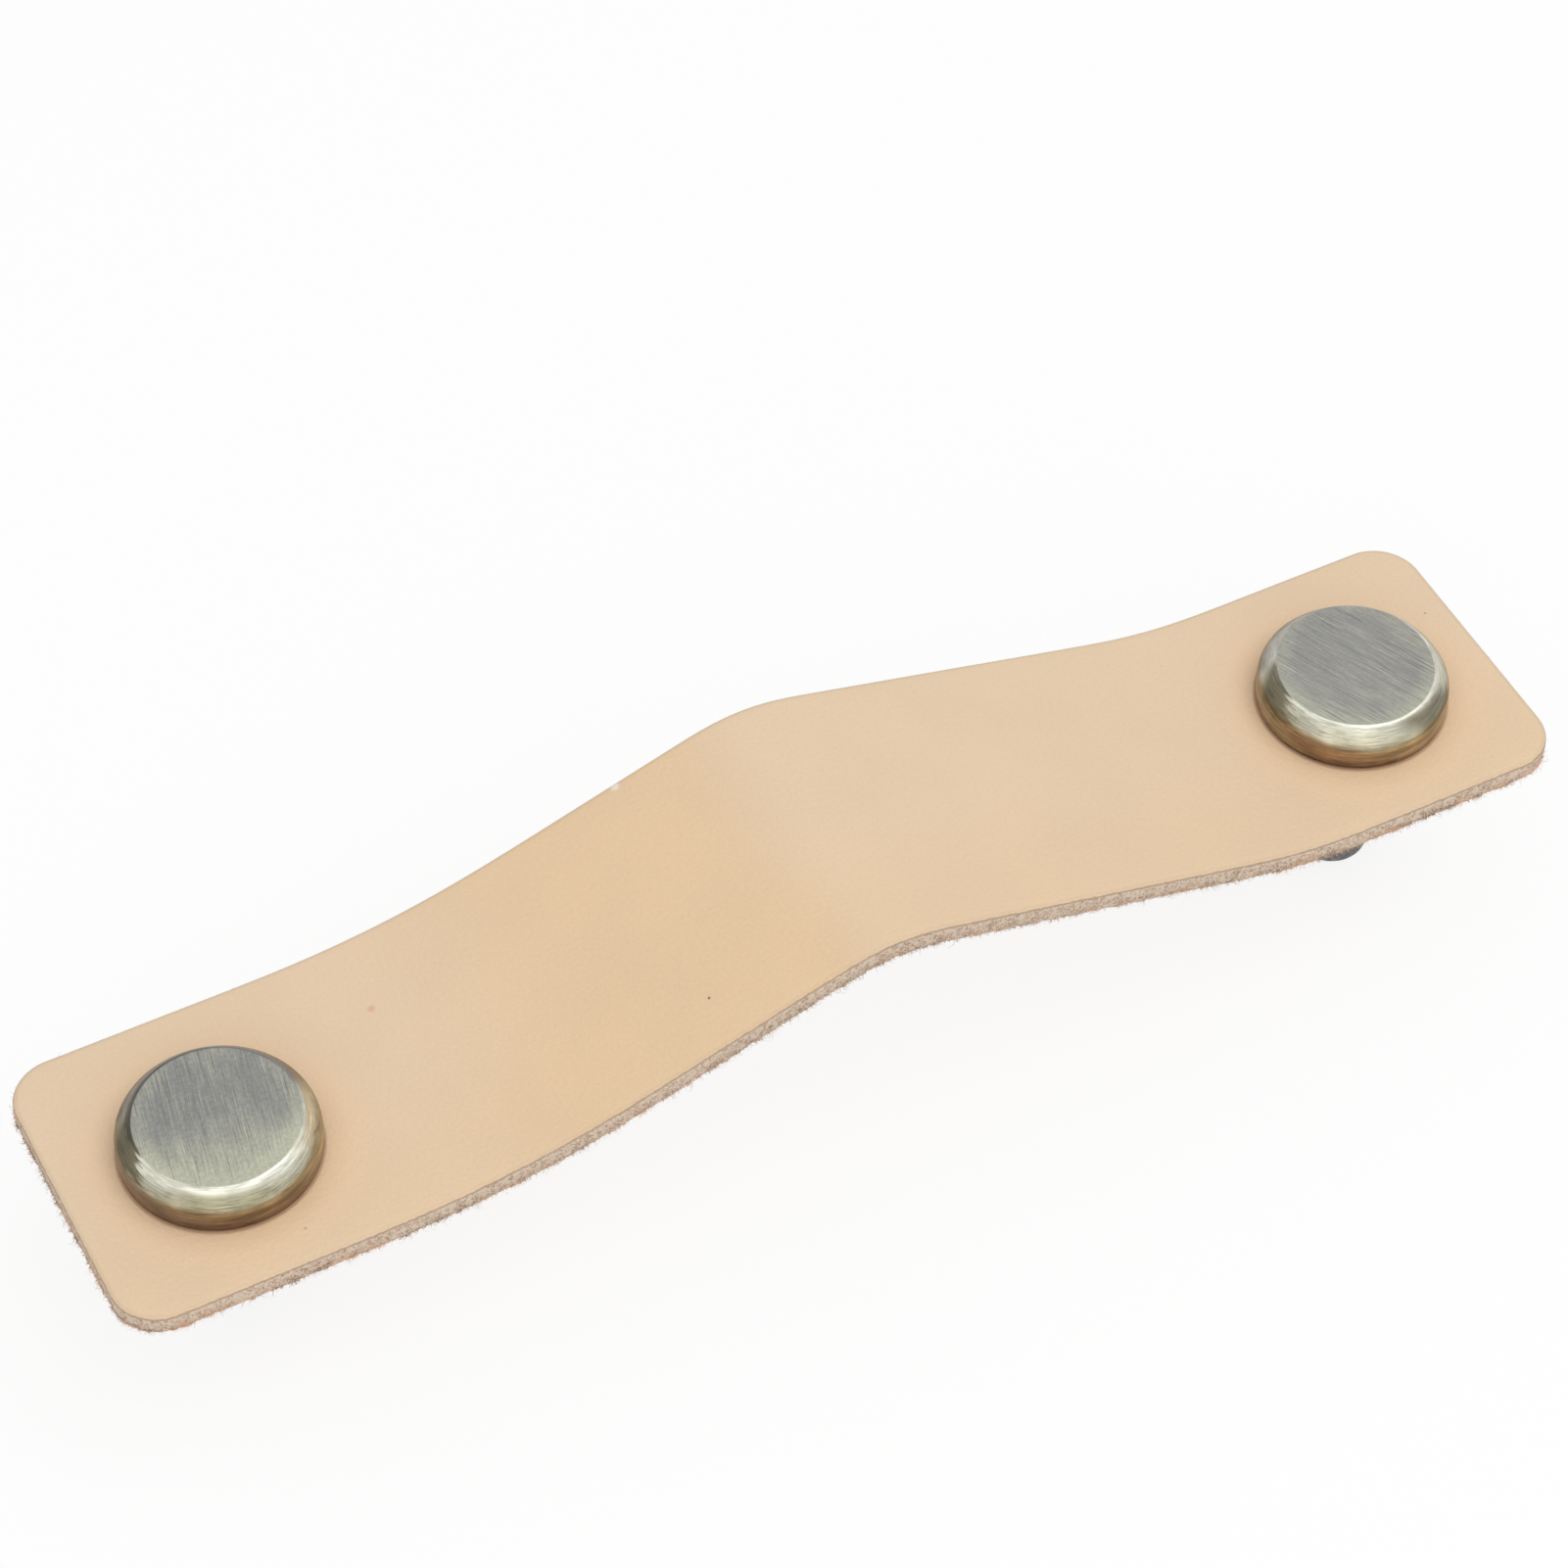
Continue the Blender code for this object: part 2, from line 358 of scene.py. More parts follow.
def bowPath():
    # Points along the middle of the grain face, from the left end to the right one, and its length.
    low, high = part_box("strap")
    left, right = radians(strapShape["leftSlope"]), radians(strapShape["rightSlope"])
    endRun = high.x - holeX["right"] + strapShape["seatRun"]
    sweepUp = bendSteps(strapShape["leftSweep"], 0.0, left)
    crease = bendSteps(strapShape["creaseRun"], left, -right)
    sweepDown = bendSteps(strapShape["rightSweep"], -right, 0.0)
    bends = sweepUp + crease + sweepDown
    span = holeX["right"] - holeX["left"] - 2 * strapShape["seatRun"]
    missing = Vector((span - sum(d * cos(a) for d, a in bends), -sum(d * sin(a) for d, a in bends)))
    ways = Matrix(((cos(left), cos(right)), (sin(left), -sin(right))))
    leftRun, rightRun = ways.inverted() @ missing       # the two straight runs close the bow
    steps = (bendSteps(endRun, 0.0, 0.0) + sweepUp + bendSteps(leftRun, left, left) + crease
             + bendSteps(rightRun, -right, -right) + sweepDown + bendSteps(endRun, 0.0, 0.0))
    points = [Vector((low.x, 0.0, low.z + strapShape["thickness"]))]
    for length, slope in steps:
        points.append(points[-1] + Vector((length * cos(slope), 0.0, length * sin(slope))))
    return points, sum(length for length, _ in steps)


def flatHole():
    # How far each hole lies from the middle of the flat strap.
    return bowPath()[1] / 2 - (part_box("strap")[1].x - holeX["right"])


def buttonRadius(side="left"):
    low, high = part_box(f"{side}_button")
    return (high.x - low.x) / 2


def pathObject(points):
    curve = bpy.data.curves.new("bowPath", "CURVE")
    curve.dimensions = "3D"
    spline = curve.splines.new("POLY")
    spline.points.add(len(points) - 1)
    for point, place in zip(spline.points, points):
        point.co = (*place, 1.0)
    return newObject("bowPath", curve)


def cutOutline(length, width):
    # The flat strap's outline, anticlockwise from the middle of its first corner, with the way
    # out at each point. Each side takes half of the corner before it and half of the one after.
    radius, cell, cuts = (strapShape[name] for name in ("cornerRadius", "cell", "edgeCuts"))
    x, y = length / 2 - radius, width / 2 - radius
    centres = [Vector((-x, -y)), Vector((x, -y)), Vector((x, y)), Vector((-x, y))]
    arcCells = round(radius * pi / 4 / cell)
    points, counts = [], []
    for k in range(4):
        facing = (k - 1) * pi / 2
        start, end = centres[k], centres[(k + 1) % 4]
        straightCells = round((end - start).length / cell)
        runs = ((start, arcCells, -pi / 4), (None, straightCells, 0.0), (end, arcCells, 0.0))
        for centre, cells, turn in runs:
            for i in range(cells * cuts):
                share = i / (cells * cuts)
                angle = facing + turn + (share * pi / 4 if centre is not None else 0.0)
                middle = centre if centre is not None else start.lerp(end, share)
                out = Vector((cos(angle), sin(angle)))
                points.append((middle + out * radius, out))
        counts.append(2 * arcCells + straightCells)
    return points, counts[0], counts[1]


def edgeProfile():
    # The cut edge from the grain face to the under face, as (inset from the outline, depth).
    deep = strapShape["thickness"]
    lip = [(0.0016, 0.0), (0.0009, 0.0), (0.0005, 0.000015), (0.0003, 0.00005), (0.00016, 0.00011),
           (0.00006, 0.0002), (0.00002, 0.0003)]
    groove = [(0.00006, 0.00037), (0.00007, 0.00044), (0.00003, 0.00052)]
    core = [(0.0, depth) for depth in np.arange(0.00066, deep - 0.0004, 0.00017)]
    hem = [(0.00003, deep - 0.0003), (0.00008, deep - 0.00016), (0.00018, deep - 0.00005),
           (0.00036, deep), (0.0007, deep), (0.0012, deep)]
    return lip + groove + core + hem


def flatStrap(length, width, offset):
    # A closed flat strap: rings round the edge, and a grid of cells on each face.
    outline, longCount, shortCount = cutOutline(length, width)
    profile = edgeProfile()
    ringSize = len(outline)
    vertices = [(p.x - n.x * inset, p.y - n.y * inset + offset, -depth)
                for inset, depth in profile for p, n in outline]
    faces = []
    for row in range(len(profile) - 1):
        for k in range(ringSize):
            after = (k + 1) % ringSize
            base, under = row * ringSize, (row + 1) * ringSize
            faces.append((base + k, under + k, under + after, base + after))
    for row, upward in ((0, True), (len(profile) - 1, False)):
        addFaceCells(vertices, faces, row * ringSize, ringSize, longCount, shortCount, upward)
    mesh = bpy.data.meshes.new("flatStrap")
    mesh.from_pydata(vertices, [], faces)
    mesh.validate()
    return mesh


def addFaceCells(vertices, faces, base, ringSize, longCount, shortCount, upward):
    # Fills one ring with a grid. A cell on the rim also takes the ring's points between its corners.
    cuts = strapShape["edgeCuts"]

    def ringIndex(i, j):
        if j == 0:
            return cuts * i
        if i == longCount:
            return cuts * (longCount + j)
        if j == shortCount:
            return cuts * (2 * longCount + shortCount - i)
        return cuts * (2 * longCount + 2 * shortCount - j) % ringSize

    ring = np.array(vertices[base:base + ringSize])
    corner = {(a, b): ring[ringIndex(a * longCount, b * shortCount)] for a in (0, 1) for b in (0, 1)}
    index = {}
    for i in range(longCount + 1):
        for j in range(shortCount + 1):
            if i in (0, longCount) or j in (0, shortCount):
                index[i, j] = base + ringIndex(i, j)
                continue
            u, v = i / longCount, j / shortCount
            sidesBlend = ((1 - v) * ring[ringIndex(i, 0)] + v * ring[ringIndex(i, shortCount)]
                          + (1 - u) * ring[ringIndex(0, j)] + u * ring[ringIndex(longCount, j)])
            cornersBlend = ((1 - u) * (1 - v) * corner[0, 0] + u * (1 - v) * corner[1, 0]
                            + (1 - u) * v * corner[0, 1] + u * v * corner[1, 1])
            index[i, j] = len(vertices)
            vertices.append(tuple(sidesBlend - cornersBlend))
    for i in range(longCount):
        for j in range(shortCount):
            loop = [index[i, j], index[i + 1, j], index[i + 1, j + 1], index[i, j + 1]]
            face = []
            for a, b in zip(loop, loop[1:] + loop[:1]):
                face.append(a)
                onRing = max(a, b) < base + ringSize and min(a, b) >= base
                if onRing and (b - a) % ringSize == cuts:
                    face += [base + (a - base + step) % ringSize for step in range(1, cuts)]
            faces.append(face if upward else face[::-1])


def roundCutter(name, x, radius, low, high):
    mesh = bpy.data.meshes.new(name)
    shape = bmesh.new()
    place = Matrix.Translation((x, 0.0, (low + high) / 2))
    bmesh.ops.create_cone(shape, cap_ends=True, segments=strapShape["holeColumns"], radius1=radius,
                          radius2=radius, depth=high - low, matrix=place)
    shape.to_mesh(mesh)
    shape.free()
    return newObject(name, mesh)


def markStrap(mesh, length, width, offset):
    # How frayed each point is, and which part of the edge it lies on, from its place on the flat strap.
    radius = strapShape["cornerRadius"]
    places = vertexPlaces(mesh)
    beyond = np.abs(places[:, :2] - (0.0, offset)) - (length / 2 - radius, width / 2 - radius)
    outside = np.linalg.norm(np.maximum(beyond, 0.0), axis=1) + np.minimum(beyond.max(axis=1), 0.0)
    inset = radius - outside
    depth = -places[:, 2] / strapShape["thickness"]         # 0 on the grain face, 1 on the under face

    zone = {name: np.clip((depth - start) / run, 0.0, 1.0) for name, (start, run) in edgeZones.items()}
    marks = {
        "fray": 0.4 * zone["lightFray"] + 0.6 * zone["fullFray"],
        "depth": depth,
        "lowerEdge": zone["lowerEdge"] * np.clip(1.0 - inset / lowerEdgeWidth, 0.0, 1.0),
        "core": zone["core"] * (depth < coreEnd),
        "underFace": zone["underFace"],
        "lip": np.clip(1.0 - inset / lipWidth, 0.0, 1.0),
    }
    for name, values in marks.items():
        storeValues(mesh, name, values)


def bendTree():
    # Roughens the flat strap, presses the buttons' dents into it and bends it along the path.
    tree, given = newTree("bentStrap", Object=["Path"], Float=[
        "Start", "Fray", "Fray Size", "Wave", "Wave Size", "Dent", "Dent Radius", "Dent Reach",
        "Left Hole", "Right Hole", "Seed"])
    flat = meshPlace(tree)
    marked = storeOnPoints(tree, given["Geometry"], "flat", flat, "FLOAT_VECTOR")
    fray = meshValue(tree, "fray")
    smooth = minus(tree, 1.0, fray)
    way = tree.nodes.new("GeometryNodeInputNormal").outputs[0]

    def centredNoise(size, detail):
        scale = calc(tree, "DIVIDE", 1.0, size)
        field = addNode(tree, "ShaderNodeTexNoise", {"Vector": flat, "W": given["Seed"], "Scale": scale,
                                                     "Detail": detail}, noise_dimensions="4D")
        return minus(tree, field.outputs[0], 0.5)

    rough = times(tree, centredNoise(given["Fray Size"], 2.0), fray, 2.0, given["Fray"])
    lift = times(tree, centredNoise(given["Wave Size"], 1.0), given["Wave"], smooth)
    reach = plus(tree, given["Dent Radius"], given["Dent Reach"])
    for hole in ("Left Hole", "Right Hole"):
        apart = vectorCalc(tree, "DISTANCE", flat, joinAxes(tree, X=given[hole]))
        near = mapRange(tree, apart, reach, given["Dent Radius"])
        lift = minus(tree, lift, times(tree, near, smooth, given["Dent"]))
    offset = vectorCalc(tree, "ADD", scaled(tree, way, rough), joinAxes(tree, Z=lift))
    roughened = movePoints(tree, marked, Offset=offset)

    path = addNode(tree, "GeometryNodeObjectInfo", {"Object": given["Path"]}, transform_space="RELATIVE")
    axes = splitAxes(tree, flat)
    along = minus(tree, axes["X"], given["Start"])
    onPath = addNode(tree, "GeometryNodeSampleCurve",
                     {"Curves": path.outputs["Geometry"], "Length": along}, mode="LENGTH")
    up = vectorCalc(tree, "CROSS_PRODUCT", onPath.outputs["Tangent"], (0.0, 1.0, 0.0))
    fromPath = vectorCalc(tree, "ADD", scaled(tree, up, axes["Z"]), joinAxes(tree, Y=axes["Y"]))
    bent = vectorCalc(tree, "ADD", onPath.outputs["Position"], fromPath)
    return endTree(tree, movePoints(tree, roughened, Position=bent), given["Material"])


def makeStrap(material):
    low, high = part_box("strap")
    width, offset = high.y - low.y, (high.y + low.y) / 2
    points, length = bowPath()
    path = pathObject(points)
    blank = newObject("flatStrap", flatStrap(length, width, offset))
    hole, deep = flatHole(), strapShape["thickness"]
    cutAway(blank, [roundCutter(f"{side}Hole", x, strapShape["holeRadius"], -2 * deep, deep)
                    for side, x in zip(sides, (-hole, hole))])
    markStrap(blank.data, length, width, offset)
    strap = runTree("leather_strap", blank, bendTree(), {
        **strapSurface, "Path": path, "Start": -length / 2, "Dent Radius": buttonRadius(),
        "Left Hole": -hole, "Right Hole": hole, "Material": material})
    removeObject(blank)
    removeObject(path)
    finishPiece(strap, "strap")
    return strap


leatherLook = {
    "grain": (0.788, 0.600, 0.412),
    "paintedShade": (0.990, 0.945, 0.865),     # painted shade: a warmer, darker tint on the left slope and towards the front
    "glow": (0.900, 0.632, 0.402),     # beside a button, where brass throws its light back
    "rim": (0.48, 0.26, 0.14),         # painted contact shadow where a button's foot meets the grain
    "lip": 0.905,                      # painted shade on the grain where it turns down to the cut edge, against the light its rounding catches
    "line": (0.47, 0.335, 0.23),       # thin line under the grain layer
    "core": (0.66, 0.54, 0.425),
    "coreDark": (0.36, 0.255, 0.175),
    "hem": (0.36, 0.22, 0.14),         # brown and pinkish lower edge
    "middleHem": 0.30,                 # share of the hem's colour along the middle
    "under": (0.60, 0.44, 0.32),
    "grainRoughness": 0.48,
    "rawRoughness": 0.95,
    "specular": 0.35,
    "pebble": 0.00042,                 # size of the grain's pebbles
    "pebbleHeight": 0.000030,
    "fibreHeight": 0.00016,
    "mottleScale": 70.0,               # the noises' scales, in features per metre
    "speckleScale": 2600.0,
    "creaseScale": 900.0,
    "gritScale": 3600.0,
    "fibreScale": 1900.0,
    "clumpScale": 420.0,
    "hemScale": 120.0,
    "lipShadeTurns": (0.35, 0.75),          # share of the lip over which its painted shade sets in
    "rawStarts": (0.06, 0.09),         # depths as shares of the thickness: from here the edge is raw
    "lineStarts": (0.065, 0.100),
    "lineEnds": (0.20, 0.13),
    "hemStarts": (0.62, 1.0),
    "hemEnds": (0.030, 0.056),         # from the strap's middle, where the hem grows browner
    "hemShift": 0.012,                 # how uneven that is
}
paintedShadeAreas = [                          # painted shade on the flat strap: rising from, to, falling from, to, share
    ("X", -0.050, -0.022, -0.0100, 0.0010, 0.95),
    ("Y", -0.0300, -0.0200, -0.0120, 0.0020, 0.40),
]
buttonRings = [                        # painted light thrown back by the brass, and painted contact shadow at the foot: colour, from and to past a button's foot, share
    ("glow", 0.0060, 0.0004, 0.50),
    ("rim", 0.00032, 0.00005, 0.65),
]
strapMarks = [                         # flaws on the grain face: place on the flat strap, radius, colour
    (-0.01725, -0.01046, 0.00013, (0.22, 0.13, 0.08)),
    (-0.04592, 0.00830, 0.00036, (0.74, 0.46, 0.33)),
    (-0.06228, -0.01246, 0.00013, (0.52, 0.38, 0.26)),
    (0.07900, 0.00645, 0.00012, (0.48, 0.33, 0.20)),
    (-0.01370, 0.01690, 0.00042, (0.84, 0.74, 0.62)),
]


def mottleAndShadeOf(tree, flat, mottle):
    # Random mottling, plus the painted shade on the left slope and towards the front.
    axes = splitAxes(tree, flat)
    toneAndShade = spread(tree, mottle, -0.08, 0.08)
    for axis, rise, risen, top, fallen, share in paintedShadeAreas:
        rising, falling = mapRange(tree, axes[axis], rise, risen), mapRange(tree, axes[axis], fallen, top)
        toneAndShade = plus(tree, toneAndShade, times(tree, rising, falling, share))
    return calc(tree, "MINIMUM", calc(tree, "MAXIMUM", toneAndShade, 0.0), 1.0)


def grainColour(tree, flat):
    # Slow mottling, fine speckle, painted shade on the left slope, the front and the lip, painted light and
    # painted contact shadow round the buttons, and the few flaws.
    look = leatherLook
    mottle = noise(tree, flat, look["mottleScale"], 3.0)
    speckle = noise(tree, flat, look["speckleScale"], 2.0)
    tone = plus(tree, spread(tree, mottle, 0.98, 1.015), spread(tree, speckle, -0.018, 0.018))
    # Painted shade on the lip, against the light its rounding catches.
    lip = mapRange(tree, readAttribute(tree, "lip"), *look["lipShadeTurns"], 1.0, look["lip"])
    tone = times(tree, tone, lip)
    shadedGrain = tuple(a * b for a, b in zip(look["grain"], look["paintedShade"]))
    grain = scaled(tree, mixColour(tree, mottleAndShadeOf(tree, flat, mottle), look["grain"], shadedGrain), tone)
    foot, hole = buttonRadius(), flatHole()
    # Painted light thrown back by each button, and its painted contact shadow.
    for x in (-hole, hole):
        apart = vectorCalc(tree, "DISTANCE", flat, (x, 0.0, 0.0))
        for colour, start, end, share in buttonRings:
            ring = mapRange(tree, apart, foot + start, foot + end, 0.0, share)
            grain = mixColour(tree, ring, grain, look[colour])
    for x, y, radius, colour in strapMarks:
        apart = vectorCalc(tree, "DISTANCE", flat, (x, y, 0.0))
        grain = mixColour(tree, mapRange(tree, apart, radius * 1.6, radius * 0.5), grain, colour)
    return grain


def hemShare(tree, place):
    # How brown and pinkish the lower rim is: most of all towards the two ends.
    look = leatherLook
    outwards = calc(tree, "ABSOLUTE", splitAxes(tree, place)["X"])
    shift = spread(tree, noise(tree, place, look["hemScale"]), -look["hemShift"], look["hemShift"])
    return mapRange(tree, plus(tree, outwards, shift), *look["hemEnds"], look["middleHem"], 1.0)


def rawColour(tree, flat, depth, matted):
    # Cut edge and under face: matted fibres, browner and pinker towards the lower rim.
    look = leatherLook
    clumps = noise(tree, flat, look["clumpScale"], 3.0, 0.6)
    core = mixColour(tree, mapRange(tree, matted, 0.38, 0.54), look["coreDark"], look["core"])
    hem = mixColour(tree, mapRange(tree, matted, 0.40, 0.60), look["hem"], look["under"])
    hemDepth = plus(tree, depth, mapRange(tree, clumps, 0.25, 0.75, -0.30, 0.30))
    hemMask = times(tree, mapRange(tree, hemDepth, *look["hemStarts"], 0.0, 0.90), hemShare(tree, flat))
    under = mixColour(tree, mapRange(tree, clumps, 0.3, 0.75, 0.5, 1.0), hem, look["under"])
    return mixColour(tree, readAttribute(tree, "underFace"), mixColour(tree, hemMask, core, hem), under)


def leatherMaterial():
    material, tree, shader = newMaterial("fauxLeather")
    look = leatherLook
    flat = readAttribute(tree, "flat", "Vector")
    depth = readAttribute(tree, "depth")
    grit = noise(tree, flat, look["gritScale"], 3.0, 0.7)
    fibres = noise(tree, flat, look["fibreScale"], 4.0, 0.7, 0.3)
    matted = plus(tree, times(tree, grit, 0.5), times(tree, fibres, 0.5))
    lineDepth = plus(tree, depth, mapRange(tree, fibres, 0.2, 0.8, -0.02, 0.02))
    rawMask = mapRange(tree, lineDepth, *look["rawStarts"])
    lineMask = times(tree, mapRange(tree, lineDepth, *look["lineStarts"]),
                     mapRange(tree, lineDepth, *look["lineEnds"]))
    colour = mixColour(tree, rawMask, grainColour(tree, flat), rawColour(tree, flat, depth, matted))
    colour = mixColour(tree, lineMask, colour, look["line"])

    pebbles = addNode(tree, "ShaderNodeTexVoronoi", {"Vector": flat, "Scale": 1.0 / look["pebble"],
                                                     "Smoothness": 0.6}, feature="SMOOTH_F1")
    pebbleHeight = times(tree, pebbles.outputs["Distance"], -look["pebbleHeight"])
    creases = times(tree, noise(tree, flat, look["creaseScale"], 3.0), look["pebbleHeight"])
    fibreHeight = times(tree, matted, look["fibreHeight"])
    height = mixValue(tree, rawMask, plus(tree, pebbleHeight, creases), fibreHeight)
    setInputs(tree, shader, {
        "Base Color": colour, "Normal": bumpOf(tree, height), "Specular IOR Level": look["specular"],
        "Roughness": mixValue(tree, rawMask, look["grainRoughness"], look["rawRoughness"])})
    return material


# Loose fibres on the cut edge and the under face

looseFibres = {              # finish, then by the names of the growing tree's inputs
    "edge_fibres": ("matted", {
        "Density": 38e6, "Length": 0.00026, "Radius": 0.000034, "Seed": 11, "Weight": "lowerEdge"}),
    "edge_fuzz": ("fine", {
        "Density": 38e6, "Length": 0.00058, "Radius": 0.000013, "Seed": 31, "Weight": "lowerEdge"}),
    "edge_tufts": ("matted", {
        "Density": 1.6e6, "Length": 0.00075, "Radius": 0.000015, "Seed": 47, "Weight": "lowerEdge"}),
    "core_fibres": ("matted", {
        "Density": 16e6, "Length": 0.00020, "Radius": 0.000028, "Seed": 17, "Weight": "core"}),
    "underside_nap": ("matted", {
        "Density": 0.8e6, "Length": 0.00060, "Radius": 0.000018, "Seed": 23, "Weight": "underFace"}),
}
fibreShape = {
    "kinds": 6,              # different bends, picked at random
    "kinkSeed": 7,
    "patchScale": 330.0,     # of their colour, in features per metre
    "root": 0.15,            # share of its length that a fibre starts inside the leather
    "tipWidth": 0.35,        # share of its width that is left at the tip
    "sides": 3,
    "steps": 4,
    "clumpSize": 0.0016,
    "lengths": (0.5, 1.5),   # shortest and longest, as shares of a piece's length
    "lean": 1.4,             # radians that a fibre may lean from the surface
}
fibreLooks = {
    "matted": {
        "pale": (0.66, 0.54, 0.43),
        "tan": (0.60, 0.43, 0.31),
        "rust": (0.47, 0.26, 0.15),
        "pink": (0.84, 0.54, 0.36),
    },
    "fine": {
        "pale": (0.88, 0.80, 0.72),
        "tan": (0.80, 0.66, 0.55),
        "rust": (0.60, 0.42, 0.31),
        "pink": (0.86, 0.66, 0.55),
    },
}


def fibreKinds(tree, length, radius):
    # A few bent fibres, each a thin tapered tube along its own curve.
    draw = random.Random(fibreShape["kinkSeed"])
    pool = tree.nodes.new("GeometryNodeGeometryToInstance")
    section = addNode(tree, "GeometryNodeCurvePrimitiveCircle",
                      {"Resolution": fibreShape["sides"], "Radius": radius})
    along = tree.nodes.new("GeometryNodeSplineParameter").outputs["Factor"]
    taper = mapRange(tree, along, 0.0, 1.0, 1.0, fibreShape["tipWidth"], smooth=False)
    scale = joinAxes(tree, X=length, Y=length, Z=length)
    for _ in range(fibreShape["kinds"]):
        bends = [Vector((draw.uniform(-0.7, 0.7), draw.uniform(-0.7, 0.7), z)) for z in (0.45, 0.8)]
        tip = Vector((draw.uniform(-0.6, 0.6), draw.uniform(-0.6, 0.6), draw.uniform(0.3, 1.0)))
        line = addNode(tree, "GeometryNodeCurvePrimitiveBezierSegment",
                       {"Resolution": fibreShape["steps"], "Start": (0.0, 0.0, -fibreShape["root"]),
                        "Start Handle": bends[0], "End Handle": bends[1], "End": tip}, mode="POSITION")
        sized = addNode(tree, "GeometryNodeTransform", {"Geometry": line.outputs[0], "Scale": scale})
        tube = addNode(tree, "GeometryNodeCurveToMesh",
                       {"Curve": sized.outputs[0], "Profile Curve": section.outputs[0], "Scale": taper,
                        "Fill Caps": True})
        tree.links.new(tube.outputs[0], pool.inputs[0])
    return pool.outputs[0]


def fibreTree():
    # Grows bent fibres on a surface where the named weight is above zero, in clumps.
    tree, given = newTree("looseFibres", String=["Weight"], Int=["Seed"], Float=[
        "Density", "Length", "Radius", "Lean", "Clump Size"])
    seed, lean = given["Seed"], given["Lean"]
    clumps = addNode(tree, "ShaderNodeTexNoise", {"Scale": calc(tree, "DIVIDE", 1.0, given["Clump Size"])})
    inClump = mapRange(tree, clumps.outputs[0], 0.38, 0.66, 0.15, 1.0)
    density = times(tree, meshValue(tree, given["Weight"]), inClump, given["Density"])
    points = addNode(tree, "GeometryNodeDistributePointsOnFaces",
                     {"Mesh": given["Geometry"], "Density": density, "Seed": seed})
    tint = addNode(tree, "FunctionNodeRandomValue", {"Seed": seed}, data_type="FLOAT").outputs[1]
    tinted = storeOnPoints(tree, points.outputs["Points"], "tint", tint, "FLOAT")
    back = times(tree, lean, -1.0)
    turn = addNode(tree, "FunctionNodeRandomValue",
                   {0: joinAxes(tree, X=back, Y=back, Z=-pi), 1: joinAxes(tree, X=lean, Y=lean, Z=pi),
                    "Seed": seed}, data_type="FLOAT_VECTOR")
    facing = addNode(tree, "FunctionNodeRotateRotation",
                     {"Rotation": points.outputs["Rotation"], "Rotate By": turn.outputs[0]},
                     rotation_space="LOCAL")
    shortest, longest = fibreShape["lengths"]
    size = addNode(tree, "FunctionNodeRandomValue", {2: shortest, 3: longest, "Seed": seed},
                   data_type="FLOAT")
    grown = addNode(tree, "GeometryNodeInstanceOnPoints", {
        "Points": tinted, "Instance": fibreKinds(tree, given["Length"], given["Radius"]),
        "Pick Instance": True, "Rotation": facing.outputs[0], "Scale": size.outputs[1]})
    return endTree(tree, grown.outputs[0], given["Material"])


def fibreMaterial(name):
    material, tree, shader = newMaterial(f"{name}Fibre")
    look = fibreLooks[name]
    tint = readAttribute(tree, "tint")
    place = objectPlace(tree)
    share = hemShare(tree, place)
    clumps = noise(tree, place, fibreShape["patchScale"])
    colour = mixColour(tree, mapRange(tree, tint, 0.2, 0.6), look["pale"], look["tan"])
    rusty = times(tree, mapRange(tree, tint, 0.55, 0.95), share)
    colour = mixColour(tree, rusty, colour, look["rust"])
    pink = times(tree, mapRange(tree, clumps, 0.46, 0.56, 0.0, 0.75), share)
    colour = mixColour(tree, pink, colour, look["pink"])
    colour = scaled(tree, colour, mapRange(tree, clumps, 0.3, 0.6, 0.82, 1.1))
    setInputs(tree, shader, {"Base Color": colour, "Roughness": 0.9, "Specular IOR Level": 0.2})
    return material


def makeFibres(strap):
    tree = fibreTree()
    materials = {name: fibreMaterial(name) for name in fibreLooks}
    for name, (finish, sizes) in looseFibres.items():
        fibres = runTree(name, strap, tree, {
            **sizes, "Lean": fibreShape["lean"], "Clump Size": fibreShape["clumpSize"],
            "Material": materials[finish]})
        finishPiece(fibres, None)


# Buttons, turned with their hollow posts

buttonShape = {
    "side": 0.0027,          # straight side
    "chamfer": 0.0019,
    "topRadius": 0.0084,
    "rimRound": 0.0006,      # rounding between the top and the chamfer
    "shoulderRound": 0.0020,
    "baseRound": 0.0003,
    "postRadius": 0.0032,
    "boreRadius": 0.0023,
    "boreTop": 0.0052,
    "sink": 0.00028,         # how far the button's base is drawn into the leather
    "roundSteps": 8,
    "columns": 160,
}
sharpAngle = 40.0            # degrees past which a metal edge stays sharp


def roundedProfile(corners, roundings):
    # A profile with rounded corners, each rounding an arc that touches both sides.
    steps = buttonShape["roundSteps"]
    profile = [corners[0]]
    for before, corner, after, radius in zip(corners, corners[1:], corners[2:], roundings):
        corner = Vector(corner)
        towards = (Vector(before) - corner).normalized()
        away = (Vector(after) - corner).normalized()
        half = towards.angle(away) / 2
        centre = corner + (towards + away).normalized() * (radius / sin(half))
        start = corner + towards * (radius * cos(half) / sin(half)) - centre
        end = corner + away * (radius * cos(half) / sin(half)) - centre
        sweep = start.angle_signed(end)
        for i in range(steps + 1):
            profile.append(tuple(centre + Matrix.Rotation(-sweep * i / steps, 2) @ start))
    return profile + [corners[-1]]


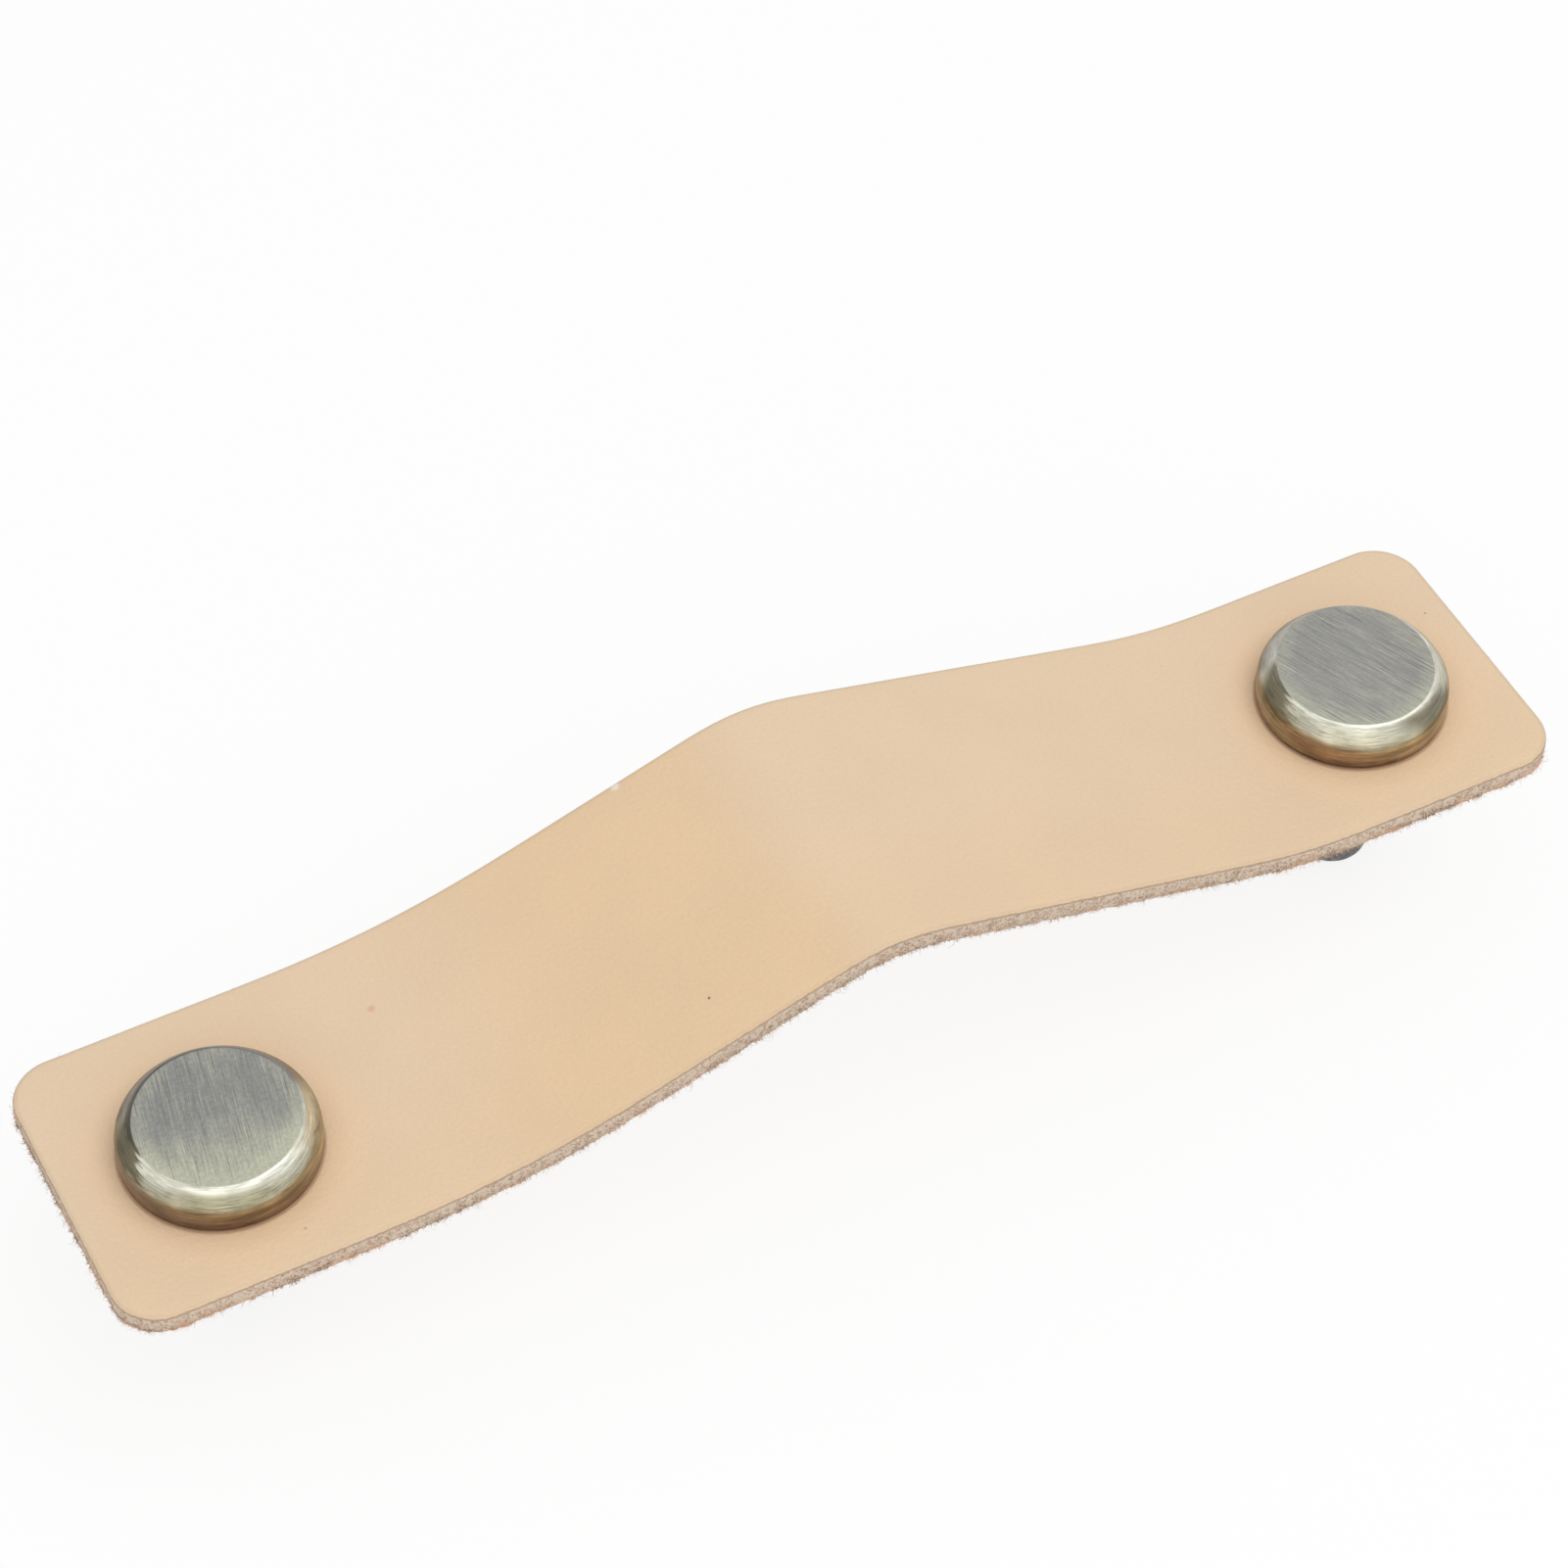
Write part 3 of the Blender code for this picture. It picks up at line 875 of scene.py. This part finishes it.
def turnedMesh(name, profile, columns, x):
    # Turns a profile of (radius, height) about the line X = x. It starts and ends on that line.
    vertices = [(x, 0.0, profile[0][1])]
    rows = profile[1:-1]
    for radius, height in rows:
        for k in range(columns):
            angle = 2 * pi * k / columns
            vertices.append((x + radius * cos(angle), radius * sin(angle), height))
    vertices.append((x, 0.0, profile[-1][1]))
    last = len(vertices) - 1
    faces = []
    for k in range(columns):
        after = (k + 1) % columns
        faces.append((0, 1 + k, 1 + after))
        for row in range(len(rows) - 1):
            base, under = 1 + row * columns, 1 + (row + 1) * columns
            faces.append((base + k, under + k, under + after, base + after))
        base = 1 + (len(rows) - 1) * columns
        faces.append((base + k, last, base + after))
    mesh = bpy.data.meshes.new(name)
    mesh.from_pydata(vertices, [], faces)
    ways = np.diff(np.array(profile), axis=0)
    run = np.concatenate([[0.0], np.cumsum(np.linalg.norm(ways, axis=1))])
    storeValues(mesh, "profile", [run[0], *np.repeat(run[1:-1], columns), run[-1]])
    return mesh


def makeButton(side, material):
    low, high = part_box(f"{side}_button")
    shape, radius, top = buttonShape, buttonRadius(side), high.z
    post, bore = shape["postRadius"], shape["boreRadius"]
    shoulder = top - shape["chamfer"]
    base = shoulder - shape["side"] - shape["sink"]
    face = [(shape["topRadius"] * share, top) for share in (0.0, 0.25, 0.5, 0.75)]
    corners = [(shape["topRadius"] * 0.9, top), (shape["topRadius"], top), (radius, shoulder),
               (radius, base), (post, base)]
    outer = roundedProfile(corners, (shape["rimRound"], shape["shoulderRound"], shape["baseRound"]))
    inner = [(post, low.z), (bore, low.z), (bore, shape["boreTop"]), (0.0, shape["boreTop"])]
    mesh = turnedMesh(f"{side}Button", face + outer + inner, shape["columns"], holeX[side])
    mesh.materials.append(material)
    finishPiece(newObject(f"{side}_brass_button", mesh), f"{side}_button", sharpAngle)


brassLook = {
    "worn": (0.485, 0.49, 0.385),         # brass showing through the grey of the top
    "olive": (0.125, 0.105, 0.060),       # painted dark reflections in patches on the chamfer
    "grey": (0.16, 0.145, 0.15),          # painted dark reflection at the back of the chamfer
    "streaked": (0.26, 0.24, 0.150),      # painted darker reflection under the front highlight
    "mauve": (0.25, 0.205, 0.20),         # outer edge of the shoulder at the back
    "black": (0.070, 0.066, 0.056),       # painted darkest reflection beside the rim at the back
    "copper": (0.33, 0.20, 0.125),        # warmer stretches of the side
    "gold": (0.47, 0.385, 0.245),
    "nick": (0.16, 0.12, 0.07),
    "roughness": 0.32,
    "scratch": 0.000005,
    "bandShift": 0.00035,                 # how far the bands move in and out round the button, so that the painted highlight narrows where it faces the camera
    "slant": 110.0,                       # how much a patch's end leans, in radians per metre of run
    "slantRun": 0.0095,                   # run at which an end has its own angle
    "patchEdge": 0.0003,                  # half of the width over which a patch's sides fade
    "ragged": 0.0002,                     # how uneven the bands are, and the patches' sides and ends
    "smear": 0.0003,
    "endSmear": 0.07,
    "topEnds": (0.0083, 0.0081),          # runs from the middle of the top: its rim, and the side
    "sideStarts": (0.0104, 0.0114),
    "swingStarts": (0.0084, 0.0090),
    "rimWear": (0.0060, 0.0082),
    "wornRim": (-0.0070, 0.0020),         # places along the worn direction, from the axis
    "wornTop": (-0.0012, 0.0072),
    "drawnOut": 36.0,                     # how much longer than wide the straight strokes are
    "ringRise": 16.0,                     # the same for the strokes round the button
}
brassNoises = {                           # place that each follows, scale, detail, roughness
    "fine": ("straight", 260.0, 3.0, 0.75),
    "lines": ("straight", 130.0, 1.0, 0.5),
    "broad": ("straight", 40.0, 2.0, 0.5),
    "cloudy": ("centred", 320.0, 2.0, 0.5),
    "speckle": ("centred", 2600.0, 2.0, 0.5),
    "ragged": ("centred", 420.0, 3.0, 0.5),
    "turning": ("rings", 430.0, 4.0, 0.7),
    "wide": ("rings", 150.0, 2.0, 0.5),
}
buttonFinish = {                          # angles in degrees round the button, from X
    "left": {
        "patina": (0.262, 0.262, 0.253),
        "brush": 79.0,
        "strokes": 0.77,                  # how strongly the brush marks show on the top
        "speckle": 0.085,                 # unevenness of the top's patina
        "worn": (-96.0, 0.85),            # side of the top that is worn the most, and how much
        "patches": [                      # painted dark reflections, other tones and a nick: from, to, softness of both ends, near, far, share, colour
            (5.0, 150.0, 30.0, 20.0, 0.0076, 0.0116, 0.90, "grey"),
            (150.0, 193.0, 20.0, 9.0, 0.0076, 0.0108, 0.93, "olive"),
            (95.0, 178.0, 40.0, 16.0, 0.0078, 0.0090, 0.75, "black"),
            (60.0, 196.0, 60.0, 20.0, 0.0108, 0.0119, 0.80, "mauve"),
            (-137.0, -78.0, 22.0, 26.0, 0.0092, 0.0105, 0.70, "streaked"),
            (-62.0, 20.0, 30.0, 30.0, 0.0112, 0.0131, 0.85, "gold"),
            (-176.0, -140.0, 20.0, 20.0, 0.0112, 0.0131, 0.35, "mauve"),
            (-36.5, -32.5, 2.0, 2.0, 0.0099, 0.0103, 1.00, "nick"),
        ],
        "bands": [                        # brass colour with painted highlight, painted reflections and painted shade down to the foot: run from the middle of the top, colour
            (0.0081, (0.42, 0.425, 0.345)),
            (0.0084, (0.64, 0.63, 0.53)),
            (0.0089, (0.78, 0.77, 0.66)),
            (0.0096, (0.55, 0.53, 0.42)),
            (0.0103, (0.40, 0.37, 0.27)),
            (0.0110, (0.40, 0.35, 0.22)),
            (0.0118, (0.29, 0.225, 0.145)),
            (0.0130, (0.24, 0.175, 0.12)),
            (0.0136, (0.17, 0.115, 0.08)),
        ],
    },
    "right": {
        "patina": (0.300, 0.297, 0.282),
        "brush": -65.0,
        "strokes": 1.0,
        "speckle": 0.04,
        "worn": (-117.0, 0.16),
        # painted dark reflections and other tones, as on the left
        "patches": [
            (20.0, 150.0, 40.0, 30.0, 0.0076, 0.0116, 0.55, "grey"),
            (156.0, 192.0, 14.0, 16.0, 0.0078, 0.0112, 0.85, "olive"),
            (-83.0, -42.0, 16.0, 18.0, 0.0087, 0.0112, 0.72, "olive"),
            (-178.0, -128.0, 14.0, 24.0, 0.0108, 0.0131, 0.50, "copper"),
            (-112.0, -60.0, 30.0, 30.0, 0.0113, 0.0131, 0.35, "gold"),
        ],
        # painted highlight, painted reflections and painted shade, as on the left
        "bands": [
            (0.0080, (0.48, 0.48, 0.39)),
            (0.0084, (0.74, 0.73, 0.64)),
            (0.0088, (0.58, 0.565, 0.46)),
            (0.0096, (0.49, 0.475, 0.375)),
            (0.0104, (0.47, 0.44, 0.325)),
            (0.0111, (0.41, 0.355, 0.24)),
            (0.0118, (0.36, 0.30, 0.20)),
            (0.0130, (0.34, 0.265, 0.18)),
            (0.0136, (0.17, 0.115, 0.08)),
        ],
    },
}
frontAngle = -117.0                       # direction that faces the photographer


def angleBand(tree, around, shift, start, end, softStart, softEnd):
    # 1 between two directions round the button's axis, fading out over the soft angles.
    middle, half = radians((start + end) / 2), radians((end - start) / 2)
    across, along = (reachTowards(tree, around, middle + turn) for turn in (pi / 2, 0.0))
    angle = plus(tree, calc(tree, "ARCTAN2", across, along), shift)
    rising = mapRange(tree, angle, -half - radians(softStart) / 2, -half + radians(softStart) / 2)
    falling = mapRange(tree, angle, half + radians(softEnd) / 2, half - radians(softEnd) / 2)
    return times(tree, rising, falling)


def colourBands(tree, value, bands):
    # A smooth run of colours, each at its own place along the value.
    low, high = bands[0][0], bands[-1][0]
    node = addNode(tree, "ShaderNodeValToRGB", {0: mapRange(tree, value, low, high, smooth=False)})
    marks = node.color_ramp.elements
    while len(marks) < len(bands):
        marks.new(0.5)
    for mark, (place, colour) in zip(marks, bands):
        mark.position = (place - low) / (high - low)
        mark.color = (*colour, 1.0)
    return node.outputs[0]


def brassFields(tree, side, run):
    # Places on the button, and the noises that streak it: straight on the top, in rings elsewhere.
    look = brassLook
    centred = addNode(tree, "ShaderNodeMapping",
                      {"Vector": objectPlace(tree), "Location": (-holeX[side], 0.0, 0.0)}).outputs[0]
    turned = addNode(tree, "ShaderNodeVectorRotate",
                     {"Vector": centred, "Angle": -radians(buttonFinish[side]["brush"])},
                     rotation_type="Z_AXIS").outputs[0]
    level = vectorCalc(tree, "MULTIPLY", centred, (1.0, 1.0, 0.0))
    fields = {
        "centred": centred,
        "level": level,
        "straight": vectorCalc(tree, "MULTIPLY", turned, (1.0, look["drawnOut"], 1.0)),
        "rings": vectorCalc(tree, "ADD", level, joinAxes(tree, Z=times(tree, run, look["ringRise"]))),
    }
    for name, (place, scale, detail, roughness) in brassNoises.items():
        fields[name] = noise(tree, fields[place], scale, detail, roughness)
    return fields


def topColour(tree, finish, run, fields):
    # Grey patina, worn along the strokes, and on one side towards the rim.
    look, (wornAngle, wornShare) = brassLook, finish["worn"]
    strokes, speckle = finish["strokes"], finish["speckle"]
    ahead = reachTowards(tree, fields["centred"], radians(wornAngle))
    rimWear = times(tree, mapRange(tree, run, *look["rimWear"], 0.0, 0.42),
                    mapRange(tree, ahead, *look["wornRim"], 0.35, 1.0))
    strokeWear = mapRange(tree, fields["fine"], 0.36, 0.68, 0.05 - 0.19 * strokes, 0.05 + 0.19 * strokes)
    wear = plus(tree, strokeWear, mapRange(tree, fields["broad"], 0.35, 0.7, -0.07, 0.11),
                mapRange(tree, fields["lines"], 0.62, 0.70, 0.0, 0.20),
                mapRange(tree, fields["cloudy"], 0.35, 0.7, -0.06, 0.12), rimWear)
    wear = calc(tree, "ADD", wear, mapRange(tree, ahead, *look["wornTop"], 0.0, wornShare), clamp=True)
    top = mixColour(tree, wear, finish["patina"], look["worn"])
    top = scaled(tree, top, mapRange(tree, fields["lines"], 0.28, 0.38, 0.80, 1.0))
    top = scaled(tree, top, mapRange(tree, fields["fine"], 0.32, 0.68, 1.0 - 0.14 * strokes,
                                     1.0 + 0.11 * strokes))
    return scaled(tree, top, spread(tree, fields["speckle"], 1.0 - speckle, 1.0 + speckle))


def chamferAndSideColour(tree, finish, run, fields):
    # Bands of brass colour with a painted highlight, painted reflections and painted shade, under painted
    # dark reflections in patches and at the back, all streaked round the button.
    look, level, turning = brassLook, fields["level"], fields["turning"]
    towards = reachTowards(tree, vectorCalc(tree, "NORMALIZE", level), radians(frontAngle))
    swing = minus(tree, times(tree, towards, towards, 2.0), 1.0)
    swing = times(tree, swing, mapRange(tree, run, *look["swingStarts"], 0.0, look["bandShift"]))
    swing = plus(tree, swing, spread(tree, fields["ragged"], -look["ragged"], look["ragged"]))
    bandsAndReflections = colourBands(tree, plus(tree, run, swing), finish["bands"])
    edge = look["patchEdge"]
    smear = plus(tree, run, spread(tree, turning, -look["smear"], look["smear"]))
    lean = times(tree, minus(tree, look["slantRun"], run), look["slant"])
    lean = plus(tree, lean, spread(tree, turning, -look["endSmear"], look["endSmear"]))
    for start, end, softStart, softEnd, near, far, share, shade in finish["patches"]:
        across = times(tree, mapRange(tree, smear, near - edge, near + edge),
                       mapRange(tree, smear, far + edge, far - edge, 0.0, share))
        around = angleBand(tree, level, lean, start, end, softStart, softEnd)
        bandsAndReflections = mixColour(tree, times(tree, around, across), bandsAndReflections, look[shade])
    bandsAndReflections = scaled(tree, bandsAndReflections, spread(tree, turning, 0.70, 1.27))
    bandsAndReflections = scaled(tree, bandsAndReflections, spread(tree, fields["cloudy"], 0.86, 1.12))
    streaks = mapRange(tree, fields["wide"], 0.32, 0.68, 0.78, 1.26)
    onSide = mapRange(tree, run, *look["sideStarts"])
    return scaled(tree, bandsAndReflections, mixValue(tree, onSide, 1.0, streaks))


def brassMaterial(side):
    material, tree, shader = newMaterial(f"{side}AntiqueBrass")
    look, finish = brassLook, buttonFinish[side]
    run = readAttribute(tree, "profile")
    fields = brassFields(tree, side, run)
    onTop = mapRange(tree, run, *look["topEnds"])
    colour = mixColour(tree, onTop, chamferAndSideColour(tree, finish, run, fields),
                       topColour(tree, finish, run, fields))
    strokes = mixValue(tree, onTop, fields["turning"], fields["fine"])
    gloss = spread(tree, strokes, look["roughness"] + 0.06, look["roughness"] - 0.04)
    setInputs(tree, shader, {"Base Color": colour, "Roughness": gloss, "Metallic": 1.0,
                             "Normal": bumpOf(tree, times(tree, strokes, look["scratch"]))})
    return material


# Screws: M4 with pan heads, standing in the door's holes

screwShape = {
    "length": 0.020,
    "tipChamfer": 0.0005,
    "headRound": 0.0012,
    "neckRound": 0.0002,
    "roundSteps": 8,
    "pitch": 0.0007,
    "threadDepth": 0.00040,
    "flank": (0.08, 0.44),   # across half a pitch, where the thread falls to its root
    "plain": 0.0012,         # smooth shank under the head
    "rowsPerTurn": 10,
    "columns": 48,
    "recessLength": 0.0042,
    "recessWidth": 0.0010,
    "recessDepth": 0.0016,
    "recessTaper": 0.45,
    "recessTurn": 20,        # degrees
}


def threadTree():
    # Cuts a thread into a turned shank by moving its points in towards the axis.
    tree, given = newTree("cutThread", Float=["Axis", "Pitch", "Depth", "Low", "High", "Radius"])
    pitch, low, high = given["Pitch"], given["Low"], given["High"]
    axes = splitAxes(tree, vectorCalc(tree, "SUBTRACT", meshPlace(tree), joinAxes(tree, X=given["Axis"])))
    turn = calc(tree, "DIVIDE", calc(tree, "ARCTAN2", axes["Y"], axes["X"]), 2 * pi)
    rise = plus(tree, calc(tree, "DIVIDE", axes["Z"], pitch), turn)
    groove = mapRange(tree, calc(tree, "PINGPONG", rise, 0.5), *screwShape["flank"], smooth=False)
    started = mapRange(tree, axes["Z"], low, plus(tree, low, pitch))
    ended = mapRange(tree, axes["Z"], high, minus(tree, high, given["Depth"]))
    outward = joinAxes(tree, X=axes["X"], Y=axes["Y"])
    surface = times(tree, given["Radius"], 1.01)
    onShank = calc(tree, "LESS_THAN", vectorCalc(tree, "LENGTH", outward), surface)
    cut = times(tree, started, ended, groove, onShank, times(tree, given["Depth"], -1.0))
    offset = scaled(tree, vectorCalc(tree, "NORMALIZE", outward), cut)
    return endTree(tree, movePoints(tree, given["Geometry"], Offset=offset), given["Material"])


def screwProfile(low, high, headRadius, shankRadius):
    # From the tip down the shank, round the head and in to the middle of its face.
    shape = screwShape
    bevel, neckRound, headRound = shape["tipChamfer"], shape["neckRound"], shape["headRound"]
    seat, start, steps = high - shape["length"], high - bevel, shape["roundSteps"]
    rows = ceil((shape["length"] - bevel) / shape["pitch"] * shape["rowsPerTurn"])
    shank = [(shankRadius, start + (seat + neckRound - start) * i / rows) for i in range(rows + 1)]
    neck = [(shankRadius + neckRound, seat), (headRadius - neckRound, seat), (headRadius, seat - neckRound)]
    rim = [(headRadius - headRound * (1 - cos(a)), low + headRound * (1 - sin(a)))
           for a in (pi / 2 * i / steps for i in range(steps + 1))]
    crown = [(headRadius * share, low) for share in (0.5, 0.25, 0.0)]
    return [(0.0, high), (shankRadius - bevel, high), *shank, *neck, *rim, *crown]


def recessCutter(name, x, face, turn):
    # One bar of the cross recess, narrower and shorter at its bottom.
    shape = screwShape
    mesh = bpy.data.meshes.new(name)
    bar = bmesh.new()
    bmesh.ops.create_cube(bar, size=1.0)
    for corner in bar.verts:
        deep = corner.co.z > 0
        share = shape["recessTaper"] if deep else 1.0
        corner.co.x *= shape["recessLength"] * share
        corner.co.y *= shape["recessWidth"] * (0.5 + share / 2)
        corner.co.z = shape["recessDepth"] if deep else -shape["recessDepth"] * 0.1
    place = Matrix.Translation((x, 0.0, face)) @ Matrix.Rotation(radians(turn), 4, "Z")
    bmesh.ops.transform(bar, matrix=place, verts=bar.verts)
    bar.to_mesh(mesh)
    bar.free()
    return newObject(name, mesh)


def makeScrew(side, tree, material):
    low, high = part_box(f"{side}_screw")
    shape, x = screwShape, holeX[side]
    headRadius = (high.x - low.x) / 2
    shankRadius = headRadius / 2
    profile = screwProfile(low.z, high.z, headRadius, shankRadius)
    blank = newObject(f"{side}Blank", turnedMesh(f"{side}Blank", profile, shape["columns"], x))
    screw = runTree(f"{side}_steel_screw", blank, tree, {
        "Axis": x, "Pitch": shape["pitch"], "Depth": shape["threadDepth"], "Radius": shankRadius,
        "Low": high.z - shape["length"] + shape["plain"], "High": high.z + shape["threadDepth"],
        "Material": material})
    removeObject(blank)
    cutAway(screw, [recessCutter(f"{side}Recess{turn}", x, low.z, turn + shape["recessTurn"])
                    for turn in (0, 90)])
    finishPiece(screw, f"{side}_screw", sharpAngle)


steelLook = {
    "dark": (0.115, 0.111, 0.112),
    "worn": (0.190, 0.185, 0.187),
    "roughness": 0.42,
    "cloudScale": 900.0,
    "gritScale": 6000.0,
    "gritHeight": 0.000004,
}


def steelMaterial():
    material, tree, shader = newMaterial("darkZinc")
    look, place = steelLook, objectPlace(tree)
    cloudy = noise(tree, place, look["cloudScale"], 3.0)
    grit = noise(tree, place, look["gritScale"], 2.0)
    colour = mixColour(tree, mapRange(tree, cloudy, 0.4, 0.75), look["dark"], look["worn"])
    gloss = spread(tree, cloudy, look["roughness"] + 0.08, look["roughness"] - 0.06)
    setInputs(tree, shader, {"Base Color": colour, "Roughness": gloss, "Metallic": 1.0,
                             "Normal": bumpOf(tree, times(tree, grit, look["gritHeight"]))})
    return material


# Floor, world and lamps

studio = {
    "skyLevel": 0.72,        # light from the white room on matt surfaces
    "floorSize": 16.0,
    "floorGap": 0.0001,      # from the screws' heads down to the floor
    "floorColour": 0.98,
    "floorWhite": 0.84,      # share of plain white that the camera sees in the floor
}
lamps = {                    # azimuth and elevation in degrees, distance and sides in metres
    "overhead": {"azimuth": 40.0, "elevation": 66.0, "distance": 1.1, "sides": (0.9, 0.9), "share": 0.25},
    "front": {"azimuth": -25.0, "elevation": 28.0, "distance": 0.95, "sides": (1.5, 0.8), "share": 0.24},
}


def seenDirectly(tree):
    # 1 for rays from the camera, off metal and through glass.
    rays = tree.nodes.new("ShaderNodeLightPath").outputs
    seen = calc(tree, "MAXIMUM", rays["Is Camera Ray"], rays["Is Glossy Ray"])
    return calc(tree, "MAXIMUM", seen, rays["Is Transmission Ray"])


def makeWorld():
    world = bpy.data.worlds.new("whiteRoom")
    scene.world = world
    world.use_nodes = True
    tree = world.node_tree
    strength = mixValue(tree, seenDirectly(tree), studio["skyLevel"], 1.0)
    setInputs(tree, tree.nodes["Background"], {"Strength": strength, "Color": (1.0, 1.0, 1.0, 1.0)})


def makeFloor():
    # White, with the object's shadow on it, and clear from below so that the back can be looked at.
    half = studio["floorSize"] / 2
    height = cadBox[0][2] - studio["floorGap"]
    corners = [(x * half, y * half, height) for x, y in ((-1, -1), (1, -1), (1, 1), (-1, 1))]
    mesh = bpy.data.meshes.new("floor")
    mesh.from_pydata(corners, [], [(0, 1, 2, 3)])
    material, tree, shader = newMaterial("paleFloor")
    tree.nodes.remove(shader)
    matt = addNode(tree, "ShaderNodeBsdfDiffuse", {"Color": (*[studio["floorColour"]] * 3, 1.0)})
    white = addNode(tree, "ShaderNodeEmission", {"Strength": 1.0})
    share = times(tree, seenDirectly(tree), studio["floorWhite"])
    upper = addNode(tree, "ShaderNodeMixShader", {0: share, 1: matt.outputs[0], 2: white.outputs[0]})
    clear = addNode(tree, "ShaderNodeBsdfTransparent")
    under = tree.nodes.new("ShaderNodeNewGeometry").outputs["Backfacing"]
    both = addNode(tree, "ShaderNodeMixShader", {0: under, 1: upper.outputs[0], 2: clear.outputs[0]})
    tree.links.new(both.outputs[0], tree.nodes["Material Output"].inputs["Surface"])
    mesh.materials.append(material)
    newObject("floor", mesh)


def makeLamps():
    for name, lamp in lamps.items():
        data = bpy.data.lights.new(name, "AREA")
        data.shape = "RECTANGLE"
        data.size, data.size_y = lamp["sides"]
        data.energy = lamp["share"] * (pi * lamp["distance"]) ** 2
        light = newObject(name, data)
        way = directionOf(lamp["azimuth"], lamp["elevation"])
        light.matrix_world = (Matrix.Translation(way * lamp["distance"])
                              @ way.to_track_quat("Z", "Y").to_matrix().to_4x4())
        light.visible_camera = False


placeCamera()
print("camera placed")
makeWorld()
makeFloor()
makeLamps()
print("floor and lamps ready")
strapPiece = makeStrap(leatherMaterial())
makeFibres(strapPiece)
threadCutting = threadTree()
steel = steelMaterial()
for buttonSide in sides:
    makeButton(buttonSide, brassMaterial(buttonSide))
    makeScrew(buttonSide, threadCutting, steel)

print("pieces finished")
